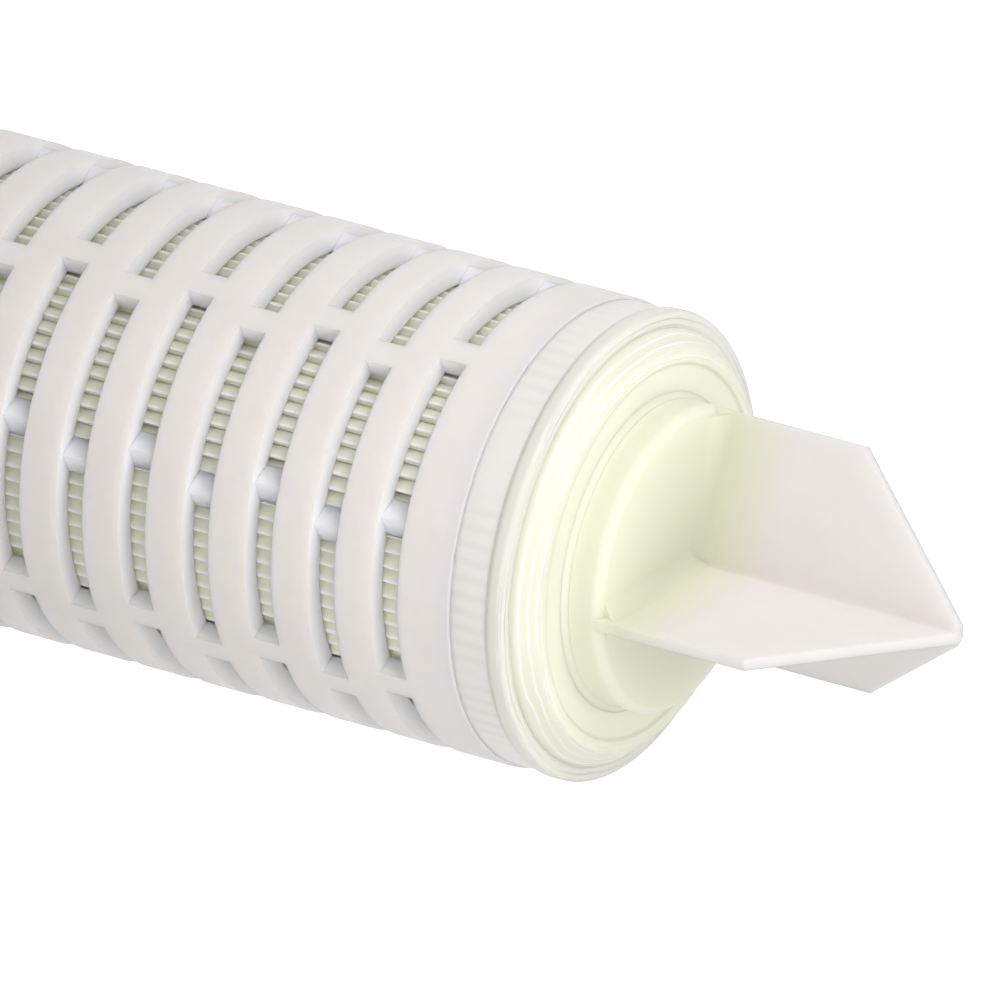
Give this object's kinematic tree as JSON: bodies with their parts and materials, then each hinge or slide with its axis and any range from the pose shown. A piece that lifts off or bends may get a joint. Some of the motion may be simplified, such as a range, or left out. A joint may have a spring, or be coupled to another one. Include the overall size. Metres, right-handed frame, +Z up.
{
  "type": "membrane filter cartridge",
  "caption": "Pleated membrane filter cartridge with a slotted cage, a bladed locating fin at the closed end and a bayonet plug with O-rings at the outlet.",
  "frame": {"origin": "centre of the plug's bottom face, where the cartridge stands on a table", "axes": "+Z up the cartridge's axis, from the outlet plug to the tip of the fin; +X through one locking lug of the plug; one blade of the fin points along -X"},
  "size_m": [0.0696, 0.0696, 0.2175],
  "materials": {
    "cage_plastic": "moulded white polypropylene, satin",
    "support_web": "white nonwoven web",
    "membrane": "smooth white porous film",
    "core_plastic": "moulded white polypropylene",
    "cap_plastic": "natural polypropylene, slightly translucent, weld ripples at the rim",
    "fin_plastic": "natural polypropylene, slightly translucent",
    "plug_plastic": "moulded white polypropylene",
    "ring_steel": "plain stainless steel",
    "seal_rubber": "translucent white silicone rubber"
  },
  "bodies": {
    "root": {"outer_cage": "cage_plastic", "upstream_support": "support_web", "filter_membrane": "membrane", "downstream_support": "support_web", "inner_core": "core_plastic", "closed_end_cap": "cap_plastic", "open_end_cap": "cap_plastic", "locating_fin": "fin_plastic", "bayonet_plug": "plug_plastic", "stiffening_ring": "ring_steel", "plug_o_ring_lower": "seal_rubber", "plug_o_ring_upper": "seal_rubber"}
  },
  "joints": []
}
